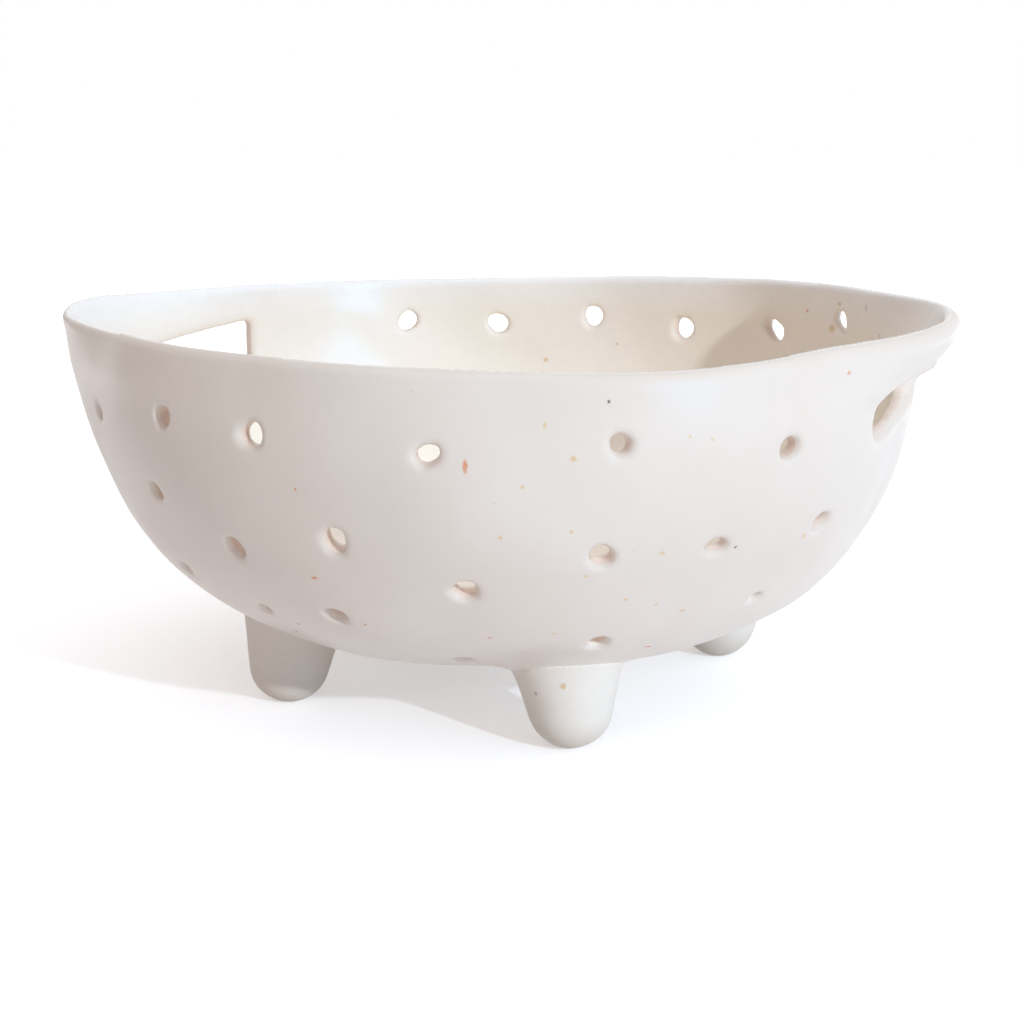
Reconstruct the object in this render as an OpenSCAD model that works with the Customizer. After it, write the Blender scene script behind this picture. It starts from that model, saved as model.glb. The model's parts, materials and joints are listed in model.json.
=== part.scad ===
// Berry colander bowl: a pinched stoneware bowl with drain holes, two finger slots under a
// flared lip, and four feet luted to its underside.
// The bowl's axis is Z, the table is z = 0 and the two handles lie along X.

/* [Bowl] */
// Outside diameter of the rim between the handles
rim_d = 180; // [160:1:200]
// Height from the underside of the floor to the top of the rim
bowl_depth = 70.5; // [62:0.5:80]
// Thickness of the wall and of the floor
wall_t = 4.2; // [3:0.1:6]
// How much thicker the rounded rim is than the wall
rim_swell = 0.4; // [0.2:0.1:1]
// Depth of the widest part of the wall below the top of the rim
belly_drop = 12.5; // [7:0.5:15]
// Rise of the floor's shallow curve from its centre to the foot of the wall
floor_sag = 1.7; // [1.2:0.05:3]

/* [Handles] */
// How far the lip stands out beyond the rim at the middle of a handle
lip_flare = 9.5; // [7:0.5:12]
// Radius of the lip's curve seen from above
lip_bend_r = 60; // [54:0.5:66]
// How far the right lip rises above the rim at its middle
lip_rise_right = 3; // [0:0.1:4]
// How far the left lip rises above the rim at its middle
lip_rise_left = 1.2; // [0:0.1:4]
// Height of the strap from the top of the slot to the top of the rim
strap_h = 11.3; // [10:0.1:14]
// Lean of the strap away from upright, in degrees
strap_lean = 36; // [20:1:42]
// Width of a finger slot
slot_w = 48; // [40:1:54]
// Clear height of a finger slot below the strap
slot_h = 9; // [7:0.5:13]
// Radius of the slot's corners
slot_corner_r = 3.4; // [1:0.1:4]

/* [Drain holes] */
// Diameter of the drain holes
hole_d = 4.5; // [3:0.1:5.6]
// Diameter of the inner ring of holes in the floor
floor_ring_inner_d = 34; // [26:1:42]
// Diameter of the outer ring of holes in the floor
floor_ring_outer_d = 66; // [56:1:70]
// Number of holes in the inner floor ring
floor_ring_inner_n = 4; // [3:1:6]
// Number of holes in the outer floor ring
floor_ring_outer_n = 8; // [6:1:10]

/* [Feet] */
// Height of the underside of the floor above the table
foot_clearance = 13.5; // [10:0.5:18]
// Diameter of the circle on which the feet stand
foot_circle_d = 103; // [94:1:112]
// Turn of the first foot from the axis of the handles, in degrees
foot_turn = 39; // [35:1:45]
// Outward splay of each foot, in degrees
foot_splay = 6; // [0:1:10]
// Diameter of a foot where it joins the bowl
foot_top_d = 21.5; // [17.5:0.5:24]
// Diameter of a foot near its end
foot_end_d = 15.8; // [12:0.2:17.6]
// Radius of the rounded end of a foot
foot_round_r = 6.5; // [3:0.1:7]
// Depth to which the end of a foot is rubbed flat
foot_rub = 0.35; // [0.2:0.05:0.6]

/* [Hidden] */
glaze = "#ece6df";
foot_glaze = "#e6dfd7";
// One overrun serves every cut that has to pass its faces.
overrun = 2;
$fn = 96;
floor_fn = 360;
hole_fn = 32;
quarter_turn = 90;
half_turn = 180;

// Heights
under_z = foot_clearance;
rim_z = under_z + bowl_depth;
rim_bead_d = wall_t + rim_swell;
bead_z = rim_z - rim_bead_d / 2;
wall_cz = rim_z - belly_drop;

// The wall is an arc about wall_x, wall_cz. The floor is a flatter arc about the axis, which
// the wall's arc crosses just above the wall arc's lowest point.
floor_lift_share = 0.9;
wall_arc_r = bowl_depth - belly_drop - floor_lift_share * floor_sag;
bead_rise = bead_z - wall_cz;
bead_ring_r = rim_d / 2 - rim_bead_d / 2;
wall_x = bead_ring_r - sqrt(pow(wall_arc_r - wall_t / 2, 2) - pow(bead_rise, 2));
floor_arc_r = (pow(wall_x, 2) + pow(floor_sag, 2)) / (2 * floor_sag);
floor_cz = under_z + floor_arc_r;

// The lip is bent about its own upright axis, lip_x from the bowl's. Its edges are beads a
// little thinner than the rim, so that its ends run out inside the rim.
lip_swell_share = 0.5;
lip_bead_d = wall_t + lip_swell_share * rim_swell;
lip_x = rim_d / 2 + lip_flare - lip_bend_r;
lip_ring_r = lip_bend_r - lip_bead_d / 2;
strap_z = rim_z - strap_h + lip_bead_d / 2;
strap_ring_r = lip_ring_r - (bead_z - strap_z) * tan(strap_lean);
strap_len = (bead_z - strap_z) / cos(strap_lean);
strap_inset = wall_t / 2 / cos(strap_lean);
// Where the lip's upper bead crosses the rim, seen from the bowl's axis and from the lip's
lip_cross_cos = (pow(bead_ring_r, 2) + pow(lip_x, 2) - pow(lip_ring_r, 2)) / (2 * bead_ring_r * lip_x);
lip_cross_turn = acos(lip_cross_cos);
lip_cross_x = bead_ring_r * lip_cross_cos;
lip_sweep = atan2(bead_ring_r * sin(lip_cross_turn), lip_cross_x - lip_x);
// Turn of each lip about the bowl's axis, and its upward tilt about the line through its crossings
lip_reach = lip_x + lip_ring_r - lip_cross_x;
lips = [
    [0, atan2(lip_rise_right, lip_reach)],
    [half_turn, atan2(lip_rise_left, lip_reach)]
];

// A slot reaches up behind the strap's lower bead. The circles in its corners are a touch
// larger than the corners, so that they cross its sides.
slot_z = rim_z - strap_h - slot_h;
slot_top_z = strap_z;
corner_share = 1.03;

// Drain rows: depth below the rim as shares of the bowl's depth, and for each row the angles
// of its hand-poked holes from the axis of the handles
row_drop_shares = [0.19, 0.49, 0.715, 0.85];
row_turns = [
    [-134, -113, -97, -76, -54, -32, 42, 60, 79, 96, 113, 129],
    both_halves([-152, -135, -118, -104, -88, -72, -56, -40, -21, -5, 12]),
    both_halves([-166, -146, -123, -107, -92, -51, -26, -8]),
    both_halves([-120, -103, -74, -29, -6, 18])
];

// Feet
foot_ring_r = foot_circle_d / 2;
foot_end_r = foot_end_d / 2;
foot_top_r = foot_top_d / 2;
foot_h = outside_z(foot_ring_r);
foot_blank_h = outside_z(foot_ring_r + foot_top_r) + overrun;
round_limit_share = 0.9;
end_round_r = min(foot_round_r, round_limit_share * foot_end_r);
// The middle of a foot's end lies a little above the lowest line of its round.
core_rub_share = 0.8;
// The side of a foot is a hollow arc from the end's round to the joint.
side_bow_share = 5;
side_chord = norm([foot_top_r - foot_end_r, foot_h - end_round_r]);
side_r = side_bow_share * side_chord;
side_normal = [foot_h - end_round_r, foot_end_r - foot_top_r] / side_chord;
side_centre = [foot_end_r + foot_top_r, end_round_r + foot_h] / 2
    + side_normal * sqrt(pow(side_r, 2) - pow(side_chord / 2, 2));

// Angles of a row whose second half repeats the first on the other side of the bowl
function both_halves(angles) = concat(angles, [for (a = angles) a + half_turn]);

// Height of the outside of the bowl at a radius beyond the floor
function outside_z(r) = max(
    wall_cz - sqrt(pow(wall_arc_r, 2) - pow(r - wall_x, 2)),
    floor_cz - sqrt(pow(floor_arc_r, 2) - pow(r, 2))
);

// Half section of the filled bowl, set in from the outside and cut off level at the top
module bowl_section(inset, top_z) {
    intersection() {
        translate([0, floor_cz]) circle(r = floor_arc_r - inset, $fn = floor_fn);
        union() {
            translate([wall_x, wall_cz]) circle(r = wall_arc_r - inset);
            translate([0, under_z - overrun]) square([wall_x, top_z - under_z + overrun]);
        }
        translate([0, under_z - overrun]) square([rim_d, top_z - under_z + overrun]);
    }
}

// The bowl before it is hollowed, with its rounded rim
module bowl_blank() {
    rotate_extrude() bowl_section(0, bead_z);
    rotate_extrude() translate([bead_ring_r, bead_z]) circle(d = rim_bead_d);
}

module hollow() {
    rotate_extrude() bowl_section(wall_t, rim_z + overrun);
}

// Places its children on the lip's tilted axis at both handles
module at_handles() {
    for (lip = lips) rotate([0, 0, lip[0]])
        translate([lip_cross_x, 0, bead_z]) rotate([0, -lip[1], 0])
            translate([lip_x - lip_cross_x, 0, -bead_z]) children();
}

// Strap over a finger slot: a leaning strip between two rounded edges, bent about the lip's axis
module strap() {
    rotate([0, 0, -lip_sweep]) rotate_extrude(angle = 2 * lip_sweep) {
        translate([strap_ring_r, strap_z]) rotate(-strap_lean)
            translate([-wall_t / 2, 0]) square([wall_t, strap_len]);
        translate([lip_ring_r, bead_z]) circle(d = lip_bead_d);
        translate([strap_ring_r, strap_z]) circle(d = lip_bead_d);
    }
}

// Space behind the strap, which takes away the round wall there
module lip_hollow() {
    low_z = strap_z - lip_bead_d / 2;
    high_z = rim_z + overrun;
    rotate_extrude() polygon([
        [0, low_z],
        [strap_ring_r - strap_inset + (low_z - strap_z) * tan(strap_lean), low_z],
        [strap_ring_r - strap_inset + (high_z - strap_z) * tan(strap_lean), high_z],
        [0, high_z]
    ]);
}

// Rounded oblong of the finger slot, seen along X
module slot_section() {
    height = slot_top_z - slot_z;
    translate([0, slot_z + height / 2]) {
        square([slot_w - 2 * slot_corner_r, height], center = true);
        square([slot_w, height - 2 * slot_corner_r], center = true);
        for (y = [-1, 1], z = [-1, 1])
            translate([y * (slot_w / 2 - slot_corner_r), z * (height / 2 - slot_corner_r)])
                circle(r = corner_share * slot_corner_r);
    }
}

// Both slots, cut by one oblong that runs through the bowl along X
module slots() {
    rotate([quarter_turn, 0, quarter_turn]) translate([0, 0, -rim_d])
        linear_extrude(height = 2 * rim_d) slot_section();
}

// One hole poked square through the wall at a depth below the rim
module wall_hole(drop, turn) {
    dip = asin((drop - belly_drop) / wall_arc_r);
    rotate([0, 0, turn]) translate([wall_x, 0, wall_cz]) rotate([0, quarter_turn + dip, 0])
        translate([0, 0, wall_arc_r - wall_t - overrun])
            cylinder(d = hole_d, h = wall_t + 2 * overrun, $fn = hole_fn);
}

module floor_hole(r, turn) {
    rotate([0, 0, turn]) translate([r, 0, under_z - overrun])
        cylinder(d = hole_d, h = wall_t + floor_sag + 2 * overrun, $fn = hole_fn);
}

module drain_holes() {
    for (i = [0 : len(row_turns) - 1], turn = row_turns[i])
        wall_hole(row_drop_shares[i] * bowl_depth, turn);
    floor_hole(0, 0);
    for (i = [0 : floor_ring_inner_n - 1])
        floor_hole(floor_ring_inner_d / 2, i * 2 * half_turn / floor_ring_inner_n);
    for (i = [0 : floor_ring_outer_n - 1])
        floor_hole(floor_ring_outer_d / 2, (i + 1 / 2) * 2 * half_turn / floor_ring_outer_n);
}

module bowl() {
    color(glaze) difference() {
        union() {
            difference() {
                bowl_blank();
                slots();
            }
            at_handles() strap();
        }
        hollow();
        at_handles() lip_hollow();
        drain_holes();
    }
}

// Half section of a foot about its own axis, from a little below the table
module foot_section() {
    difference() {
        translate([0, end_round_r]) square([foot_top_d, foot_blank_h - end_round_r]);
        translate(side_centre) circle(r = side_r, $fn = floor_fn);
    }
    intersection() {
        union() {
            translate([foot_end_r - end_round_r, end_round_r - foot_rub]) circle(r = end_round_r);
            translate([0, -core_rub_share * foot_rub])
                square([foot_end_r - end_round_r, 2 * end_round_r]);
        }
        translate([0, -foot_rub - overrun]) square([foot_top_d, foot_blank_h]);
    }
}

// One foot, rubbed flat on the table and cut to the underside of the bowl
module foot(count) {
    color(foot_glaze) difference() {
        rotate([0, 0, foot_turn + count * quarter_turn]) intersection() {
            translate([foot_ring_r, 0, 0]) rotate([0, -foot_splay, 0]) rotate_extrude() foot_section();
            translate([0, -rim_d / 2, 0]) cube([rim_d, rim_d, rim_z]);
        }
        rotate_extrude() bowl_section(0, bead_z);
    }
}

module foot_right() { foot(0); }
module foot_back() { foot(1); }
module foot_left() { foot(2); }
module foot_front() { foot(3); }

bowl();
foot_right();
foot_back();
foot_left();
foot_front();
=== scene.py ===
import json
import math

import bpy
import numpy as np
import openvdb
from mathutils import Matrix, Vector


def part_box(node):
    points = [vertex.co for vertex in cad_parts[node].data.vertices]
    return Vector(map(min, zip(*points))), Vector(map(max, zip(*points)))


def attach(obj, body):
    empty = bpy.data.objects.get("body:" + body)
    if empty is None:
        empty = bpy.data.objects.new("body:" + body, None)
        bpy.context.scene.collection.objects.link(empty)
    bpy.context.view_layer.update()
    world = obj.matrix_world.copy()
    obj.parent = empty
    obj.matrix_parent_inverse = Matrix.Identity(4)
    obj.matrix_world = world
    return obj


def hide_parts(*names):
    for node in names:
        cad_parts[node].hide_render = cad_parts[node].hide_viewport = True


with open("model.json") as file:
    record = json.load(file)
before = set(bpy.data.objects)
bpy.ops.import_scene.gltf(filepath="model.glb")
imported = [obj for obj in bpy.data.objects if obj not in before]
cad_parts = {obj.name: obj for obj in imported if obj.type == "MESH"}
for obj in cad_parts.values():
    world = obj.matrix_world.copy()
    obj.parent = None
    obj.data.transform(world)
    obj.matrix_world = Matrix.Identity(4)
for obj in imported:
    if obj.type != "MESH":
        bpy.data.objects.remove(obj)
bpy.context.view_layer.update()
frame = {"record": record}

# Sizes in millimetres; angles in degrees about the bowl's axis, from the middle of the right slot
MM = 0.001
bowl_low, bowl_high = (np.array(corner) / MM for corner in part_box("bowl"))
UNDER_Z = bowl_low[2]
BOWL_DEPTH = 70.5
RIM_Z = UNDER_Z + BOWL_DEPTH
RIM_R = 90.0
WALL = 4.2

# Profile of the bowl: a wall arc that a flatter floor arc crosses, and that is eased off over the floor
BELLY_DROP = 12.5
BELLY_SWELL = 0.77
FLOOR_SAG = 1.7
FLOOR_LIFT_SHARE = 0.9
FLOOR_BLEND = 1.2
FLOOR_EASE_SLOPE = 0.5
FLOOR_EASE_REACH = 4.0
WALL_CZ = RIM_Z - BELLY_DROP
WALL_ARC_R = BOWL_DEPTH - BELLY_DROP - FLOOR_LIFT_SHARE * FLOOR_SAG
WALL_X = RIM_R + BELLY_SWELL - WALL_ARC_R
FLOOR_ARC_R = (WALL_X**2 + FLOOR_SAG**2) / (2 * FLOOR_SAG)
FLOOR_CZ = UNDER_Z + FLOOR_ARC_R

# Fuller and flatter places in the wall: middle as an angle and a height, reach of each, and depth
SWELLS = [
    (0.0, 17.0, 60.0, 26.0, 3.05), (8.0, 62.0, 40.0, 14.0, -0.7), (-68.0, 17.0, 34.0, 9.0, 2.0),
    (-140.0, 55.0, 50.0, 20.0, -1.3), (-152.0, 28.0, 45.0, 16.0, -0.8),
    (90.0, 72.0, 50.0, 32.0, -0.5), (-90.0, 72.0, 45.0, 32.0, -0.4),
]

# Finger slots: middle and half width as angles, rise of the sill, height, slopes of the upper and lower
# edge, outward slope of the sill, and radius of the corners
STRAP_H = 11.3
SLOT_H = 9.0
SLOT_EDGE_R = 1.9
SLOT_Z = RIM_Z - STRAP_H - SLOT_H
SLOTS = [
    (-1.2, 13.3, 2.6, 9.6, 0.17, 0.08, 0.4, 5.0),
    (176.0, 16.9, -0.6, 9.0, -0.11, -0.04, 0.0, 2.0),
]

# Flared lips: middle and reach as angles, how far they stand out, height where the flare starts, its curve;
# a flare sets in softly over a share of its height and goes on above the rim up to another
LIPS = [
    (6.0, 36.0, 10.1, SLOT_Z + 6.8, 0.85),
    (138.0, 28.0, 3.3, RIM_Z - 30, 1.6),
    (194.0, 40.0, 9.9, SLOT_Z - 34, 3.5),
]
LIP_SOFT_SHARE = 0.3
LIP_TOP_SHARE = 1.3

# Uneven rim: height above the mean rim at angles, how much thinner each face of the wall gets there,
# and how the edge of the right lip tilts outward: middle and reach as angles, and slope
RIM_WAVE = [
    (-140, 0.3), (-125, 1.0), (-115, 1.0), (-100, 0.9), (-80, 0.2), (-60, -0.8), (-44, -1.1),
    (-32, -0.3), (-24, 0.5), (-10, 0.7), (2, 1.2), (12, 2.0), (21, 2.6), (30, 2.8), (42, 2.7),
    (52, 2.2), (62, 1.8), (72, 1.1), (85, 0.4), (100, -0.5), (125, -1.3), (145, -0.7),
    (158, 0.0), (168, 0.2), (180, 0.6), (192, 1.4), (204, 1.0),
]
RIM_WAVE_FOOT = 50.0
RIM_THIN = [
    (-170, 1.0), (-140, 1.0), (-110, 0.6), (-70, 0.35), (-35, 0.3), (0, -0.1), (30, 0.1),
    (60, 0.3), (120, 0.4), (160, 0.9),
]
RIM_THIN_H = 10.0
RIM_EDGE_R = 1.8
LIP_TILT = (6.0, 40.0, 0.7)

# Shallow thumb dents in the outside: angle, depth below the rim, radius and depth
DENTS = [(-83, 11, 6, 0.35), (-77, 52, 7, 0.3), (-60, 24, 9, 0.2), (-98, 27, 8, 0.25)]

# Hand-poked drain holes: angle, depth below the rim, and shares of the width and height of a full hole;
# one is poked aslant, by a third angle; holes are a little oval and lobed, with dished edges, and low
# ones get smaller over a span below a depth
HOLE_R = 2.1
HOLE_EDGE_R = 0.7
HOLE_SIZES = (0.96, 1.04)
HOLE_OVAL = (0.04, 0.14)
HOLE_LOBES = 0.04
HOLE_DISH_OUT = 0.6
DISH_OUT_START = 0.3
DISH_OUT_LIMIT = 1.5
HOLE_DISH_IN = 0.35
DISH_IN_START = 0.6
DISH_IN_SPAN = 1.5
LOW_HOLE_SHARE = 0.75
LOW_HOLE_DROP = 38.0
LOW_HOLE_SPAN = 14.0
POKE_HALF = 7.0
POKE_REACH = 9.0
HOLES_SEEN = [
    (-133.5, 16.0, 0.75, 0.6), (-113.3, 12.6, 1.0, 0.8), (-98.3, 13.4, 1.0, 1.2),
    (-76.2, 14.9, 1.0, 0.82), (-54.3, 13.3, 0.85, 0.75), (-31.3, 16.8, 0.95, 0.9),
    (-118.8, 28.6, 0.85, 0.8), (-104.4, 36.2, 0.85, 0.9), (-88.5, 32.0, 1.05, 1.1),
    (-72.5, 41.0, 0.95, 1.1), (-55.5, 34.4, 1.05, 1.0), (-39.6, 34.6, 1.0, 0.72),
    (-22.5, 32.8, 0.75, 0.7), (-122, 45.6, 0.75, 0.7), (-107, 51.0, 0.75, 0.7),
    (-92, 48.4, 1.0, 0.95), (-52.4, 54.7, 1.0, 1.2), (-27, 48.6, 0.6, 0.7),
    (-74.9, 60.0, 1.0, 0.8), (129, 12.3, 1.25, 1.25), (113, 13.3, 1.15, 1.25),
    (96, 11.0, 1.2, 1.18), (79, 12.9, 1.3, 1.2), (60.3, 11.0, 1.5, 1.15),
]
HOLE_ASLANT = (43.2, 5.8, 25.0)
ASLANT_SHARE = 1.05

# Holes that the photo hides: angles at each depth below the rim, and radius, count and first angle
# of the rings in the floor, with how far each hole may stray
HOLES_HIDDEN = {
    34.5: [-152, 12, 28, 45, 62, 76, 92, 108, 124, 140, 159, 175],
    50.4: [-166, -146, 14, 34, 57, 73, 88, 129, 154, 172],
    59.9: [-120, 18, 60, 77, 106, 151, 174, 198],
}
FLOOR_RINGS = [(0.0, 1, 0.0), (17.0, 4, 0.0), (33.0, 8, 22.5)]
STRAY_TURN = 2
STRAY_DROP = 3
FLOOR_STRAY_TURN = 4
FLOOR_HOLE_SIZES = (0.92, 1.08)

# Feet: shift on the table, slip fillet at the joint, side the fillet leans to, share of that lean,
# how thick the slip is smeared onto the bowl around the foot, and how much of the full widening it has
FEET = {
    "foot_front": ((-0.7, -0.3), 0.7, 240, 0.8, 2.2, 1.0),
    "foot_left": ((2.9, -3.15), 0.5, 0, 0.0, 0.4, 0.85),
    "foot_right": ((3.1, 1.3), 0.8, 22, 0.8, 0.4, 1.0),
    "foot_back": ((-0.6, 0.8), 0.7, 90, 0.5, 1.6, 0.9),
}
FOOT_PLACES = {
    mount["name"].replace("rest_", "foot_"): np.array(mount["pos_m"][:2]) / MM
    for mount in frame["record"]["mounts"]
}

# Joint of a foot with the underside: height, radius, reach of the slip on the bowl and on the foot,
# and the height over which the slip on the bowl ends
JOINT_Z = 17.0
JOINT_R = 10.6
SMEAR_REACH = 2.3
SLIP_REACH = 2.2
SMEAR_TOP = 50.0
SMEAR_TOP_SPAN = 10.0

# Shape of a foot: splay, depth that it sinks into the bowl, radii at heights, rounding of its end,
# rise of its end above the table, blend at the joint, share for the slope of its sides, its uneven
# waves, and the space that it is built in
FOOT_SPLAY = math.radians(6)
FOOT_SINK = 0.7
FOOT_HEIGHTS = [0, 5, 9, 13, 17, 24]
FOOT_RADII = [7.2, 8.1, 9.1, 10.0, 10.8, 12.2]
FOOT_ROUND_R = 6.6
FOOT_END_RISE = 0.15
FOOT_JOINT_BLEND = 0.4
FOOT_TAPER_SHARE = 0.95
FOOT_WAVES = (5, 26, 12, 0.12)
FOOT_ROOM = 19.0
FOOT_ROOM_LOW = -2.0
FOOT_ROOM_HIGH = 32.0

# Size of the cells that the surfaces are drawn from, room around the bowl, value far from a surface,
# and limits of the slope that the wall's field is evened out by
BOWL_STEP = 0.8
FOOT_STEP = 0.5
BOWL_ROOM = 4.0
BOWL_ROOM_TOP = 6.0
FIELD_BAND = 3.0
STEEP_RANGE = (0.4, 3)

rng = np.random.default_rng(7)


def smooth_max(a, b, k):
    """The larger of two fields, blended where they are within k."""
    h = np.maximum(k - np.abs(a - b), 0) / k
    return np.maximum(a, b) + h * h * k / 4


def round_max(a, b, r):
    """The larger of two fields, with a rounded edge of radius r."""
    return np.minimum(np.maximum(a, b), -r) + np.hypot(np.maximum(a + r, 0), np.maximum(b + r, 0))


def ease(t):
    """Soft step from 0 to 1."""
    t = np.clip(t, 0, 1)
    return t * t * (3 - 2 * t)


def swell_up(t):
    """Softer step from 0 to 1, with no kink in its curve."""
    t = np.clip(t, 0, 1)
    return t**3 * (t * (6 * t - 15) + 10)


def turn_gap(a, b):
    """Angle from b to a, between -180 and 180."""
    return (a - b + 180) % 360 - 180


def periodic(points, angle):
    """A smooth closed curve through (angle, value) points."""
    knots = np.array(sorted(points), float)
    at = np.concatenate([knots[:, 0] - 360, knots[:, 0], knots[:, 0] + 360])
    value = np.tile(knots[:, 1], 3)
    fine = np.arange(-360, 361, 1.0)
    level = np.interp(fine, at, value)
    kernel = np.hanning(15)
    level = np.convolve(level, kernel / kernel.sum(), mode="same")
    return np.interp(angle, fine, level)


def undulation(x, y, z, waves):
    """Sum of plane waves at points."""
    total = np.zeros(np.broadcast(x, y, z).shape, np.float32)
    for kx, ky, kz, phase, size in waves:
        total += size * np.sin(kx * x + ky * y + kz * z + phase)
    return total


def make_waves(draw, count, long, short, size):
    """Random plane waves with lengths from long to short."""
    waves = []
    for _ in range(count):
        direction = draw.normal(size=3)
        direction /= np.linalg.norm(direction)
        length = draw.uniform(short, long)
        k = direction * 2 * math.pi / length
        waves.append((*k, draw.uniform(0, 2 * math.pi), size))
    return waves


# Slow waves of the wall, waves of its thickness, and finer marks of the fingers: count, longest and
# shortest length, and height of each
WALL_WAVES = make_waves(rng, 9, 70, 34, 0.16)
THICK_WAVES = make_waves(rng, 6, 50, 24, 0.07)
PINCH_WAVES = make_waves(np.random.default_rng(11), 10, 26, 11, 0.024)


def wall_spot(turn, drop, inset=0.0):
    """Point on the outer wall arc, or inset from it, and the outward direction there."""
    reach = WALL_ARC_R - inset
    dip = math.asin((drop - BELLY_DROP) / reach)
    spoke = WALL_X + reach * math.cos(dip)
    a = math.radians(turn)
    spot = np.array([spoke * math.cos(a), spoke * math.sin(a), WALL_CZ - reach * math.sin(dip)])
    normal = np.array([math.cos(dip) * math.cos(a), math.cos(dip) * math.sin(a), -math.sin(dip)])
    return spot, normal


def outer_distance(r, z):
    """Distance outside the filled bowl."""
    floor = np.hypot(r, z - FLOOR_CZ) - FLOOR_ARC_R
    wall = np.hypot(r - WALL_X, z - WALL_CZ) - WALL_ARC_R
    eased = wall - FLOOR_EASE_SLOPE * np.maximum(WALL_X + FLOOR_EASE_REACH - r, 0)
    return smooth_max(floor, eased, FLOOR_BLEND)


def warped(x, y, z):
    """Radius and height in the even bowl of a point in the hand-made one, and its angle."""
    r = np.hypot(x, y)
    angle = np.degrees(np.arctan2(y, x))
    for turn, spread, flare, start, curve in LIPS:
        climb = np.clip((z - start) / (RIM_Z - start), 0, LIP_TOP_SHARE)
        climb = climb**curve * ease(climb / LIP_SOFT_SHARE)
        r = r - flare * swell_up(1 - np.abs(turn_gap(angle, turn)) / spread) * climb
    for turn, height, turn_reach, height_reach, depth in SWELLS:
        beside = ease(1 - np.abs(turn_gap(angle, turn)) / turn_reach)
        level = ease(1 - np.abs(z - height) / height_reach)
        swell = beside * level
        r = r - depth * swell
    lift = periodic(RIM_WAVE, angle) * ease((z - RIM_WAVE_FOOT) / (RIM_Z - RIM_WAVE_FOOT))
    return r, z - lift, angle


def smear(x, y):
    """Thickness of the slip smeared onto the underside around the feet."""
    total = 0.0
    for node, (shift, _, turn, lean_share, thick, _) in FEET.items():
        base = FOOT_PLACES[node] + shift
        top = base * (1 - math.tan(FOOT_SPLAY) * JOINT_Z / np.linalg.norm(base))
        dx, dy = x - top[0], y - top[1]
        share = (1 + lean_share * np.cos(np.arctan2(dy, dx) - math.radians(turn))) / (1 + lean_share)
        total = total + thick * share * np.exp(-np.maximum(np.hypot(dx, dy) - JOINT_R, 0) / SMEAR_REACH)
    return total


def outside(x, y, z):
    """Distance outside the hand-made bowl's outer face, before the rim is cut off."""
    r, height, _ = warped(x, y, z)
    return outer_distance(r, height) + undulation(x, y, z, WALL_WAVES) - smear(x, y)


def mesh_of(field, low, step, name):
    """Closed mesh of the surface where the field is zero."""
    grid = openvdb.FloatGrid(FIELD_BAND)
    grid.copyFromArray(np.ascontiguousarray(field, np.float32))
    points, quads = grid.convertToQuads(0.0)
    points = (points * step + low) * MM
    mesh = bpy.data.meshes.new(name)
    mesh.from_pydata(points.tolist(), [], quads.tolist())
    mesh.validate()
    mesh.polygons.foreach_set("use_smooth", np.ones(len(mesh.polygons), bool))
    piece = bpy.data.objects.new(name, mesh)
    bpy.context.scene.collection.objects.link(piece)
    return piece


def near_block(axes, low, step, shape, centre, reach):
    """Slices and coordinates of the grid points near a centre."""
    spans = []
    for i in range(3):
        first = max(int((centre[i] - reach - low[i]) / step), 0)
        last = min(int((centre[i] + reach - low[i]) / step) + 2, shape[i])
        spans.append(slice(first, last))
    x, y, z = np.meshgrid(*(axes[i][spans[i]] for i in range(3)), indexing="ij", sparse=True)
    return tuple(spans), (x - centre[0], y - centre[1], z - centre[2])


def poke(field, axes, low, step, centre, normal, radius, wide=1.0, tall=1.0):
    """One hole poked along a normal, with a dished outer edge and a softened inner one."""
    spans, offset = near_block(axes, low, step, field.shape, centre, POKE_REACH)
    along = sum(offset[i] * normal[i] for i in range(3))
    side = np.cross([0, 0, 1.0], normal)
    side = side / np.linalg.norm(side) if np.linalg.norm(side) > 0.1 else np.array([1.0, 0, 0])
    up = np.cross(normal, side)
    u = sum(offset[i] * side[i] for i in range(3))
    v = sum(offset[i] * up[i] for i in range(3))
    spin = np.arctan2(v, u)
    ragged = 1 + rng.uniform(*HOLE_OVAL) * np.cos(2 * spin - rng.uniform(0, 6))
    ragged = ragged + HOLE_LOBES * np.cos(3 * spin + rng.uniform(0, 6))
    outward = (along + DISH_OUT_START) / (WALL / 2 + DISH_OUT_START)
    inward = (-along - DISH_IN_START) / DISH_IN_SPAN
    dish = HOLE_DISH_OUT * np.clip(outward, 0, DISH_OUT_LIMIT) ** 2
    dish = dish + HOLE_DISH_IN * np.clip(inward, 0, 1) ** 2
    shape = np.hypot(np.cos(spin) / wide, np.sin(spin) / tall)
    hole = np.hypot(u, v) - radius * ragged / shape - dish
    hole = np.maximum(hole, np.abs(along) - POKE_HALF)
    field[spans] = round_max(field[spans], -hole, HOLE_EDGE_R)


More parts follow.
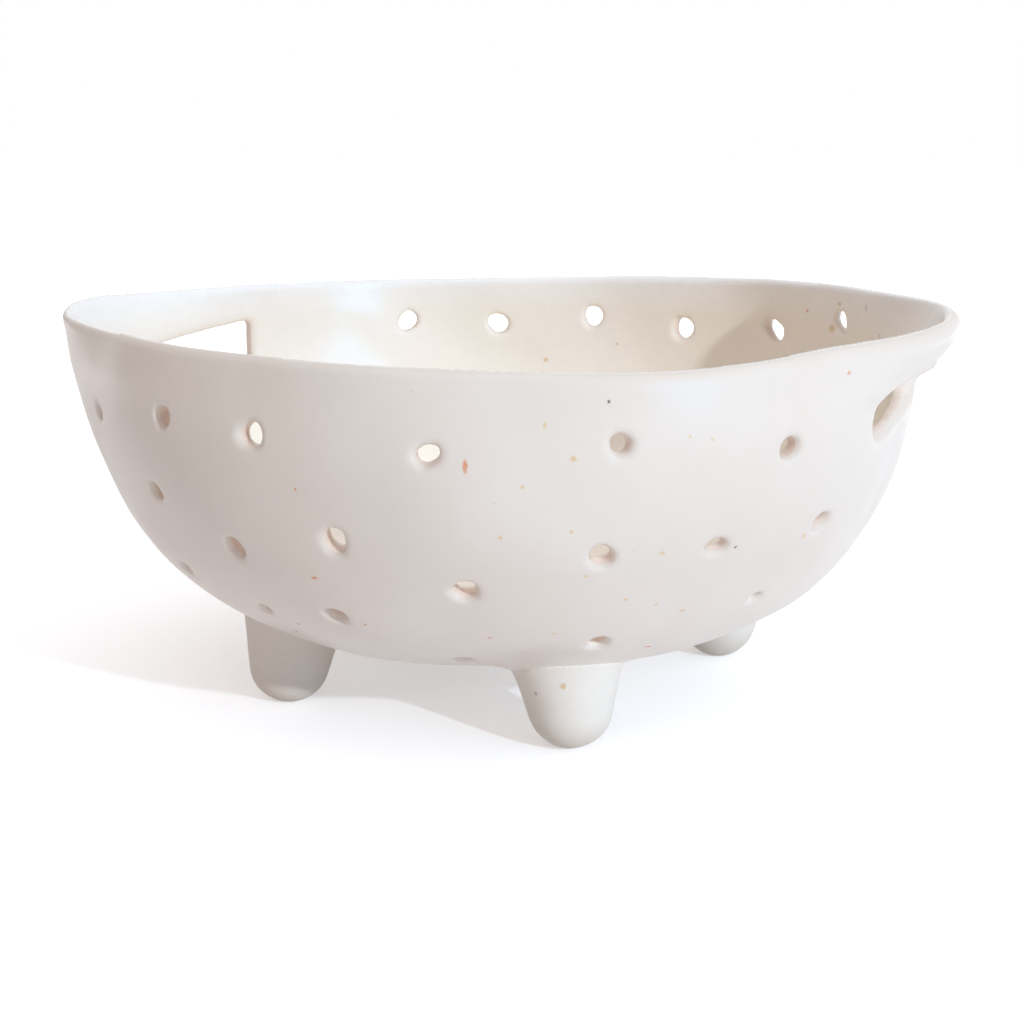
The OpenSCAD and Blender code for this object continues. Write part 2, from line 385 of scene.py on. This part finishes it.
def make_bowl(step):
    """The pinched shell with its lips, finger slots, drain holes and the slip around the feet."""
    low = np.array([-bowl_high[0] - BOWL_ROOM, -bowl_high[1] - BOWL_ROOM, UNDER_Z - BOWL_ROOM])
    high = np.array([bowl_high[0] + BOWL_ROOM, bowl_high[1] + BOWL_ROOM, RIM_Z + BOWL_ROOM_TOP])
    axes = [np.arange(low[i], high[i], step, dtype=np.float32) for i in range(3)]
    x, y, z = np.meshgrid(*axes, indexing="ij", sparse=True)
    r, height, angle = warped(x, y, z)
    middle = outer_distance(r, height) + undulation(x, y, z, WALL_WAVES) + WALL / 2
    for turn, drop, size, depth in DENTS:
        centre, _ = wall_spot(turn, drop)
        spans, offset = near_block(axes, low, step, middle.shape, centre, 3 * size)
        middle[spans] += depth * np.exp(-sum(d * d for d in offset) / size**2)
    steep = np.sqrt(sum(g * g for g in np.gradient(middle, step)))
    middle = (middle / np.clip(steep, *STEEP_RANGE)).astype(np.float32)
    thin = periodic(RIM_THIN, angle) * ease((height - RIM_Z) / RIM_THIN_H + 1)
    half = WALL / 2 + undulation(x, y, z, THICK_WAVES + PINCH_WAVES) - thin
    turn, spread, tilt = LIP_TILT
    top = height - RIM_Z + tilt * ease(1 - np.abs(turn_gap(angle, turn)) / spread) * middle
    slip = smear(x, y) * ease((SMEAR_TOP - z) / SMEAR_TOP_SPAN)
    faces = np.where(middle > 0, middle - slip, -middle)
    shell = round_max(faces - half, top, RIM_EDGE_R)
    for turn, half_turn, rise, tall, upper_slope, lower_slope, bevel, corner in SLOTS:
        along = np.radians(turn_gap(angle, turn)) * (RIM_R - WALL / 2)
        wide = np.radians(half_turn) * (RIM_R - WALL / 2)
        over = height - SLOT_Z - tall - rise - upper_slope * along
        under = SLOT_Z + rise + lower_slope * along - bevel * middle - height
        slot = round_max(np.abs(along) - wide, np.maximum(over, under), corner)
        shell = round_max(shell, -slot, SLOT_EDGE_R)
    shell = np.ascontiguousarray(shell, np.float32)
    holes = list(HOLES_SEEN)
    for drop, turns in HOLES_HIDDEN.items():
        for turn in turns:
            stray_turn = rng.uniform(-STRAY_TURN, STRAY_TURN)
            stray_drop = rng.uniform(-STRAY_DROP, STRAY_DROP)
            holes.append((turn + stray_turn, drop + stray_drop, 1.0, 1.0))
    for turn, drop, wide, tall in holes:
        centre, normal = wall_spot(turn, drop, WALL / 2)
        low_share = 1 - (1 - LOW_HOLE_SHARE) * ease((drop - LOW_HOLE_DROP) / LOW_HOLE_SPAN)
        radius = HOLE_R * low_share * rng.uniform(*HOLE_SIZES)
        poke(shell, axes, low, step, centre, normal, radius, wide, tall)
    turn, drop, aslant = HOLE_ASLANT
    centre, _ = wall_spot(turn, drop, WALL / 2)
    _, normal = wall_spot(turn + aslant, drop)
    poke(shell, axes, low, step, centre, normal, ASLANT_SHARE * HOLE_R)
    for ring_r, count, first in FLOOR_RINGS:
        for i in range(count):
            stray = rng.uniform(-FLOOR_STRAY_TURN, FLOOR_STRAY_TURN)
            a = math.radians(first + i * 360 / count + stray)
            rise = FLOOR_ARC_R - math.sqrt(FLOOR_ARC_R**2 - ring_r**2)
            centre = np.array([ring_r * math.cos(a), ring_r * math.sin(a), UNDER_Z + rise + WALL / 2])
            radius = HOLE_R * rng.uniform(*FLOOR_HOLE_SIZES)
            poke(shell, axes, low, step, centre, np.array([0, 0, -1.0]), radius)
    return mesh_of(shell, low, step, "glazed_bowl")


def make_foot(node, step):
    """One hand-rolled foot, its wider top pressed a little into the underside of the bowl."""
    shift, fillet, fillet_turn, lean_share, _, growth = FEET[node]
    base = np.array([*(FOOT_PLACES[node] + shift), 0])
    out = base / np.linalg.norm(base)
    lean = np.array([-out[0] * math.sin(FOOT_SPLAY), -out[1] * math.sin(FOOT_SPLAY), math.cos(FOOT_SPLAY)])
    low = np.array([base[0] - FOOT_ROOM, base[1] - FOOT_ROOM, FOOT_ROOM_LOW])
    high = np.array([base[0] + FOOT_ROOM, base[1] + FOOT_ROOM, FOOT_ROOM_HIGH])
    axes = [np.arange(low[i], high[i], step, dtype=np.float32) for i in range(3)]
    x, y, z = np.meshgrid(*axes, indexing="ij", sparse=True)
    dx, dy = x - base[0], y - base[1]
    along = dx * lean[0] + dy * lean[1] + z * lean[2]
    across = np.sqrt(np.maximum(dx * dx + dy * dy + z * z - along * along, 0))
    bowl_gap = outside(x, y, z)
    heading = np.arctan2(dy, dx) - math.radians(fillet_turn)
    slip = fillet * (1 + lean_share * np.cos(heading)) * np.exp(-np.maximum(bowl_gap, 0) / SLIP_REACH)
    widening = np.interp(along, FOOT_HEIGHTS, FOOT_RADII) - FOOT_RADII[0]
    radius = FOOT_RADII[0] + growth * widening + slip
    uneven = undulation(x, y, z, make_waves(rng, *FOOT_WAVES))
    body = (across - radius) * FOOT_TAPER_SHARE + uneven
    body = round_max(body, -along - FOOT_END_RISE, FOOT_ROUND_R)
    body = np.maximum(body, -z)
    body = smooth_max(body, -bowl_gap - FOOT_SINK, FOOT_JOINT_BLEND)
    return mesh_of(body, low, step, node + "_glazed")


def add(tree, kind, inputs=None, **settings):
    """A shader node with its settings and inputs; gives its outputs."""
    new = tree.nodes.new("ShaderNode" + kind)
    for name, value in settings.items():
        setattr(new, name, value)
    for socket, value in (inputs or {}).items():
        if isinstance(value, bpy.types.NodeSocket):
            tree.links.new(value, new.inputs[socket])
        else:
            new.inputs[socket].default_value = value
    return new.outputs


def calc(tree, operation, a, b=0.0):
    return add(tree, "Math", {0: a, 1: b}, operation=operation)[0]


def fade(tree, value, start, end, first, last):
    """Value carried from the span start to end onto the span first to last."""
    spans = {"Value": value, "From Min": start, "From Max": end, "To Min": first, "To Max": last}
    return add(tree, "MapRange", spans)[0]


def blend(tree, factor, a, b):
    return add(tree, "Mix", {0: factor, 6: a, 7: b}, data_type="RGBA")[2]


def vector(tree, operation, a, b=(0, 0, 0), c=(0, 0, 0)):
    return add(tree, "VectorMath", {0: a, 1: b, 2: c}, operation=operation)[0]


def dot(tree, a, b):
    return add(tree, "VectorMath", {0: a, 1: b}, operation="DOT_PRODUCT")[1]


def size_of(tree, a):
    return add(tree, "VectorMath", {0: a}, operation="LENGTH")[1]


def noise(tree, place, scale, detail=2.0):
    return add(tree, "TexNoise", {"Vector": place, "Scale": scale, "Detail": detail})[0]


def specks(tree, place, scale, share, size):
    """Sparse round specks: how strongly each point is covered, and a random number per speck."""
    cells = add(tree, "TexVoronoi", {"Vector": place, "Scale": scale})
    chance = add(tree, "SeparateColor", {0: cells["Color"]})
    keep = calc(tree, "LESS_THAN", chance[0], share)
    radius = fade(tree, chance[1], 0, 1, 0.35 * size, size)
    spot = fade(tree, cells["Distance"], calc(tree, "MULTIPLY", radius, 0.4), radius, 1.0, 0.0)
    return calc(tree, "MULTIPLY", spot, keep), chance[2]


# Colours of specks; painted shade in the walls of the holes; painted light below the rim inside; bare clay
# and painted shade at the ends of the feet
RUST = (0.68, 0.24, 0.09, 1)
OCHRE = (0.72, 0.46, 0.20, 1)
IRON = (0.12, 0.07, 0.06, 1)
CLAY = (0.45, 0.36, 0.31, 1)
HOLE_PAINTED_SHADE = (0.72, 0.46, 0.36, 1)
RIM_PAINTED_LIGHT = (0.97, 0.92, 0.88, 1)
FOOT_END_CLAY_SHADE = (0.80, 0.64, 0.50, 1)
GRAIN = (0.62, 0.53, 0.45, 1)
WHITE = (1, 1, 1, 1)

# Marks in the glaze outside and inside: angle, depth below the rim, half width, half height and colour;
# those on the front foot have a place and an outward direction
MARKS_OUT = [
    (-71.5, 16.3, 0.5, 1.6, RUST), (-92.3, 40.8, 1.0, 0.5, RUST), (-47.1, 35.0, 0.9, 0.6, OCHRE),
    (-36.4, 35.6, 0.4, 0.4, IRON), (-40.4, 49.6, 1.1, 0.6, OCHRE), (-45.5, 47.0, 0.6, 0.5, OCHRE),
    (-41.2, 59.3, 1.4, 0.5, RUST), (-45.6, 12.2, 0.45, 0.45, OCHRE), (-42.7, 12.9, 0.35, 0.35, OCHRE),
    (-21.2, 4.0, 0.7, 0.5, RUST), (-18.9, 4.2, 0.4, 0.4, OCHRE), (-59.3, 15.2, 0.8, 0.7, OCHRE),
    (-69.1, 53.5, 0.5, 0.45, RUST), (-59.7, 52.4, 0.6, 0.4, OCHRE), (-92.3, 22.5, 0.45, 0.45, RUST),
    (-55.3, 5.1, 0.4, 0.45, IRON), (-105.0, 58.0, 0.8, 0.3, IRON), (-101.3, 54.6, 0.5, 0.3, IRON),
    (-24.9, 35.3, 0.6, 0.8, OCHRE), (-11.5, 34.0, 0.4, 0.7, OCHRE), (-50.5, 44.9, 0.6, 0.5, OCHRE),
    (-67.5, 29.7, 0.5, 0.5, OCHRE), (-62.6, 9.0, 0.5, 0.8, OCHRE), (-65.0, 20.2, 0.6, 0.5, OCHRE),
    (-56.8, 38.6, 0.6, 0.4, OCHRE), (-59.2, 29.0, 0.5, 0.5, OCHRE), (-87.4, 50.8, 0.4, 0.3, RUST),
]
MARKS_IN = [
    (104.0, 22.5, 0.8, 0.8, OCHRE), (51.7, 4.6, 0.6, 0.6, RUST), (34.2, 1.0, 0.8, 1.4, CLAY),
    (30.2, 6.8, 0.7, 0.9, RUST), (45.1, 7.7, 1.6, 1.2, OCHRE), (42.5, 1.5, 1.2, 0.7, OCHRE),
    (91.1, 17.6, 0.5, 0.5, OCHRE),
]
MARKS_FOOT = [
    ((33.9, -49.2, 16.4), (0.34, -0.9, -0.28), 0.8, 0.9, OCHRE),
    ((27.9, -49.3, 14.0), (-0.16, -0.97, -0.19), 0.5, 0.6, CLAY),
]
MARK_DEPTH = 2.8

# Grain of the glaze: noise scales per metre, how far the edges of the specks wander, scale, share and
# size of coarse and fine specks with their cover, and strength and depth of the skin
CLOUD_SCALE = 24
GRAIN_SCALE = 420
GRAIN_COVER = 0.06
RAGGED_SCALE = 900
RAGGED = 0.9
SPECKS = (95, 0.13, 0.055)
SPECK_COVER = 0.45
FINE_SPECKS = (210, 0.05, 0.06)
FINE_COVER = 0.5
IRON_FROM = 0.7
MARK_COVER = {OCHRE: 0.75, RUST: 0.85, IRON: 0.85, CLAY: 0.85}
SATIN_SCALE = 60
OUTSIDE_ROUGHER = 0.15
SPECK_ROUGHER = 0.15
SKIN_SCALE = 260
FINE_SKIN_SCALE = 1400
FINE_SKIN_SHARE = 0.25
SKIN_STRENGTH = 0.06
SKIN_DEPTH = 0.6

# Where the colours change: heights of the painted light low on the wall, of the bare clay and painted shade
# at the ends of the feet and of the painted light below the rim, and how squarely a face looks away from
# the middle of the wall's arc where the painted light inside and the painted shade in the holes begin
BOUNCE_LIGHT_TOP = 45
BOUNCE_LIGHT_FULL = 18
BOUNCE_LIGHT_COVER = 0.8
FOOT_END_TOP = 8
FOOT_END_COVER = 0.4
RIM_LIGHT_DROP = 9
RIM_LIGHT_RISE = 2
HOLE_TOP_DROP = 8
HOLE_END_DROP = 4
INNER_FADE = (0.55, 0.05)
HOLE_FADE = (0.01, 0.16)


def glaze(name, pale, shade, low, inside_painted_light, satin_span, hole_shade_share, marks):
    """Satin cream glaze with soft clouds, sparse iron specks and a faint orange-peel skin."""
    material = bpy.data.materials.new(name)
    material.use_nodes = True
    tree = material.node_tree
    shader = tree.nodes["Principled BSDF"]
    place = add(tree, "TexCoord")["Object"]
    cloud = fade(tree, noise(tree, place, CLOUD_SCALE, 3), 0.35, 0.65, 0, 1)
    colour = blend(tree, cloud, (*pale, 1), (*shade, 1))
    height = add(tree, "SeparateXYZ", {0: place})[2]
    # Painted light: the wall is made paler low down, as if lit by light from the floor
    under = fade(tree, height, BOUNCE_LIGHT_TOP * MM, BOUNCE_LIGHT_FULL * MM, 0, BOUNCE_LIGHT_COVER)
    colour = blend(tree, under, colour, (*low, 1))
    level = vector(tree, "NORMALIZE", vector(tree, "MULTIPLY", place, (1, 1, 0)))
    hub = vector(tree, "MULTIPLY_ADD", level, (WALL_X * MM,) * 3, (0, 0, WALL_CZ * MM))
    spoke = vector(tree, "NORMALIZE", vector(tree, "SUBTRACT", place, hub))
    facing = dot(tree, add(tree, "NewGeometry")["Normal"], spoke)
    # Painted light: the inside faces get a paler copy of the glaze, as if lit more
    inner = fade(tree, facing, *INNER_FADE, 0, 1)
    colour = blend(tree, inner, colour, (*inside_painted_light, 1))
    # Painted shade: the walls of holes and slots, which face across the wall, are darkened brown as if in
    # shadow
    painted_hole_shade = fade(tree, calc(tree, "MULTIPLY", facing, facing), *HOLE_FADE, hole_shade_share, 0)
    below = fade(tree, height, (RIM_Z - HOLE_TOP_DROP) * MM, (RIM_Z - HOLE_END_DROP) * MM, 1, 0)
    colour = blend(tree, calc(tree, "MULTIPLY", painted_hole_shade, below), colour, HOLE_PAINTED_SHADE)
    # Painted light: the inside near the rim is made paler, as if lit from above
    edge = fade(tree, height, (RIM_Z - RIM_LIGHT_DROP) * MM, (RIM_Z + RIM_LIGHT_RISE) * MM, 0, 1)
    colour = blend(tree, calc(tree, "MULTIPLY", inner, edge), colour, RIM_PAINTED_LIGHT)
    # Bare clay at the ends of the feet, with painted shade: darker towards the table
    foot_end_clay_shade = fade(tree, height, FOOT_END_TOP * MM, 0.0, 0, FOOT_END_COVER)
    colour = blend(tree, foot_end_clay_shade, colour, FOOT_END_CLAY_SHADE)
    grain = fade(tree, noise(tree, place, GRAIN_SCALE, 3), 0.3, 0.7, 0, GRAIN_COVER)
    colour = blend(tree, grain, colour, GRAIN)
    stir = add(tree, "TexNoise", {"Vector": place, "Scale": RAGGED_SCALE})[1]
    ragged = vector(tree, "MULTIPLY_ADD", stir, (RAGGED * MM,) * 3, place)
    cover, kind = specks(tree, ragged, *SPECKS)
    tint = blend(tree, kind, OCHRE, RUST)
    colour = blend(tree, calc(tree, "MULTIPLY", cover, SPECK_COVER), colour, tint)
    fine, kind = specks(tree, ragged, *FINE_SPECKS)
    tint = blend(tree, calc(tree, "GREATER_THAN", kind, IRON_FROM), OCHRE, IRON)
    colour = blend(tree, calc(tree, "MULTIPLY", fine, FINE_COVER), colour, tint)
    covered = calc(tree, "MAXIMUM", cover, fine)
    for spot, normal, wide, tall, tint in marks:
        side = np.cross([0, 0, 1.0], normal)
        side = side / np.linalg.norm(side)
        turn = Matrix(np.array([side, np.cross(normal, side), normal]).T.tolist()).to_euler()
        size = (wide * MM, tall * MM, MARK_DEPTH * MM)
        local = {"Vector": ragged, "Location": tuple(spot * MM), "Rotation": tuple(turn), "Scale": size}
        local = add(tree, "Mapping", local, vector_type="TEXTURE")[0]
        mark = fade(tree, size_of(tree, local), 0.4, 1.0, MARK_COVER[tint], 0.0)
        colour = blend(tree, mark, colour, tint)
        covered = calc(tree, "MAXIMUM", covered, mark)
    satin = fade(tree, noise(tree, place, SATIN_SCALE, 2), 0.3, 0.7, *satin_span)
    satin = calc(tree, "ADD", satin, fade(tree, inner, 0, 1, OUTSIDE_ROUGHER, 0))
    fine_skin = calc(tree, "MULTIPLY", noise(tree, place, FINE_SKIN_SCALE, 1), FINE_SKIN_SHARE)
    skin = calc(tree, "ADD", noise(tree, place, SKIN_SCALE, 2), fine_skin)
    lift = {"Height": skin, "Strength": SKIN_STRENGTH, "Distance": SKIN_DEPTH * MM}
    bump = add(tree, "Bump", lift)[0]
    tree.links.new(colour, shader.inputs["Base Color"])
    rough = calc(tree, "ADD", satin, calc(tree, "MULTIPLY", covered, SPECK_ROUGHER))
    tree.links.new(rough, shader.inputs["Roughness"])
    tree.links.new(bump, shader.inputs["Normal"])
    return material


def camera_at(azimuth, distance, height, lateral, pitch, lens):
    """The scene's camera, at a distance from the bowl's axis and turned about it."""
    a = math.radians(azimuth)
    back = np.array([math.sin(a), -math.cos(a), 0])
    right = np.array([math.cos(a), math.sin(a), 0])
    spot = back * distance + right * lateral + np.array([0, 0, height])
    data = bpy.data.cameras.new("camera")
    data.lens = lens
    data.sensor_width = CAMERA_SENSOR
    data.sensor_fit = "HORIZONTAL"
    data.clip_start = 0.01
    camera = bpy.data.objects.new("camera", data)
    camera.location = spot * MM
    camera.rotation_euler = (math.radians(90 - pitch), 0, a)
    bpy.context.scene.collection.objects.link(camera)
    bpy.context.scene.camera = camera


def area_light(name, azimuth, elevation, distance, size, power, colour):
    """A flat lamp that faces the bowl; metres and watts."""
    data = bpy.data.lights.new(name, "AREA")
    data.shape = "RECTANGLE"
    data.size, data.size_y = size
    data.energy = power
    data.color = colour
    lamp = bpy.data.objects.new(name, data)
    a, e = math.radians(azimuth), math.radians(elevation)
    spot = np.array([math.sin(a) * math.cos(e), -math.cos(a) * math.cos(e), math.sin(e)]) * distance
    lamp.location = spot + np.array([0, 0, 0.05])
    lamp.rotation_euler = (math.radians(90) - e, 0, a)
    bpy.context.scene.collection.objects.link(lamp)
    return lamp


def seen_ray(tree):
    """One for rays that show the backdrop: straight, mirrored or through glass."""
    path = add(tree, "LightPath")
    seen = calc(tree, "MAXIMUM", path["Is Camera Ray"], path["Is Glossy Ray"])
    return calc(tree, "MAXIMUM", seen, path["Is Transmission Ray"])


# Glaze colours: pale and shaded clouds, a paler colour low on the wall as painted light, and a paler one
# inside as painted light;
# range of the roughness; and how strongly the walls of the holes are darkened with painted shade
BOWL_COLOURS = [(0.77, 0.657, 0.565), (0.745, 0.627, 0.53), (0.87, 0.755, 0.66), (0.95, 0.85, 0.735)]
BOWL_ROUGH = (0.15, 0.22)
BOWL_HOLE_SHADE = 0.45
FOOT_COLOURS = [(0.82, 0.72, 0.62), (0.77, 0.66, 0.56), (0.89, 0.785, 0.68), (0.89, 0.785, 0.68)]
FOOT_ROUGH = (0.45, 0.55)
FOOT_HOLE_SHADE = 0.0

bowl = make_bowl(BOWL_STEP)
marks = [(*wall_spot(turn, drop), *look) for turn, drop, *look in MARKS_OUT]
marks += [(*wall_spot(turn, drop, WALL), *look) for turn, drop, *look in MARKS_IN]
bowl_material = glaze("satin_glaze", *BOWL_COLOURS, BOWL_ROUGH, BOWL_HOLE_SHADE, marks)
bowl.data.materials.append(bowl_material)
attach(bowl, "root")
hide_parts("bowl")

foot_marks = [(np.array(spot), np.array(normal), *look) for spot, normal, *look in MARKS_FOOT]
foot_material = glaze("satin_glaze_foot", *FOOT_COLOURS, FOOT_ROUGH, FOOT_HOLE_SHADE, foot_marks)
for node in FEET:
    foot = make_foot(node, FOOT_STEP)
    foot.data.materials.append(foot_material)
    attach(foot, "root")
    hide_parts(node)

# Camera at the photo's angle, and the sides that the light comes from
CAMERA_AZIMUTH = 22.0
CAMERA_DISTANCE = 405.0
CAMERA_ABOVE_RIM = 47.3
CAMERA_LATERAL = 2.2
CAMERA_PITCH = 12.94
CAMERA_LENS = 64.09
CAMERA_SENSOR = 36.0
KEY_AZIMUTH = CAMERA_AZIMUTH + 36
WINDOW_AZIMUTH = KEY_AZIMUTH + 15
SOFT_AZIMUTH = CAMERA_AZIMUTH + 75
camera_z = RIM_Z + CAMERA_ABOVE_RIM
camera_at(CAMERA_AZIMUTH, CAMERA_DISTANCE, camera_z, CAMERA_LATERAL, CAMERA_PITCH, CAMERA_LENS)

# Pale floor that runs out into the white backdrop: its glow at a near and a far distance, in metres
FLOOR_HALF = 3.0
FLOOR_COLOUR = (0.88, 0.86, 0.86, 1)
FLOOR_ROUGH = 0.9
GLOW_NEAR = (0.25, 0.45)
GLOW_FAR = (0.7, 1.0)
mesh = bpy.data.meshes.new("floor")
corners = [(-1, -1), (1, -1), (1, 1), (-1, 1)]
mesh.from_pydata([(FLOOR_HALF * a, FLOOR_HALF * b, 0) for a, b in corners], [], [(0, 1, 2, 3)])
floor = bpy.data.objects.new("floor", mesh)
bpy.context.scene.collection.objects.link(floor)
floor_material = bpy.data.materials.new("floor")
floor_material.use_nodes = True
tree = floor_material.node_tree
shader = tree.nodes["Principled BSDF"]
shader.inputs["Base Color"].default_value = FLOOR_COLOUR
shader.inputs["Roughness"].default_value = FLOOR_ROUGH
away = size_of(tree, add(tree, "TexCoord")["Object"])
spread = fade(tree, away, GLOW_NEAR[0], GLOW_FAR[0], GLOW_NEAR[1], GLOW_FAR[1])
glow = calc(tree, "MULTIPLY", seen_ray(tree), spread)
shader.inputs["Emission Color"].default_value = WHITE
tree.links.new(glow, shader.inputs["Emission Strength"])
floor.data.materials.append(floor_material)

# Soft room light on the object: colours and levels away from and towards the soft side, and from
# above; the backdrop itself is white
ROOM_AWAY = (1, 0.90, 0.91, 1)
ROOM_TOWARDS = (1, 0.94, 0.98, 1)
ROOM_ABOVE = (0.88, 0.95, 1, 1)
ROOM_LEVELS = (0.205, 0.23)
ABOVE_LEVEL = 1.5
ABOVE_POWER = 4.0
world = bpy.data.worlds.new("studio")
bpy.context.scene.world = world
world.use_nodes = True
tree = world.node_tree
room = tree.nodes["Background"]
seen = seen_ray(tree)
soft_turn = math.radians(SOFT_AZIMUTH)
towards = (math.sin(soft_turn), -math.cos(soft_turn), 0)
facing = dot(tree, add(tree, "TexCoord")["Generated"], towards)
tint = blend(tree, fade(tree, facing, -1, 1, 0, 1), ROOM_AWAY, ROOM_TOWARDS)
side_level = fade(tree, facing, -1, 1, *ROOM_LEVELS)
upward = add(tree, "SeparateXYZ", {0: add(tree, "TexCoord")["Generated"]})[2]
overhead = calc(tree, "POWER", calc(tree, "MAXIMUM", upward, 0.0), ABOVE_POWER)
tint = blend(tree, overhead, tint, ROOM_ABOVE)
tree.links.new(blend(tree, seen, tint, WHITE), room.inputs["Color"])
level = calc(tree, "ADD", side_level, calc(tree, "MULTIPLY", overhead, ABOVE_LEVEL))
tree.links.new(calc(tree, "MAXIMUM", level, seen), room.inputs["Strength"])

# Small key lamp for the shadows, and a tall soft window that shows in the glaze: elevation, distance,
# size, power and colour
KEY_LAMP = (20, 1.2, (0.03, 0.03), 8.3, (0.755, 0.89, 1.0))
WINDOW_LAMP = (17, 1.2, (0.27, 0.7), 2.8, (0.12, 0.50, 1.0))
key = area_light("key", KEY_AZIMUTH, *KEY_LAMP)
key.visible_glossy = False
area_light("window", WINDOW_AZIMUTH, *WINDOW_LAMP)

bpy.context.scene.view_settings.view_transform = "Standard"
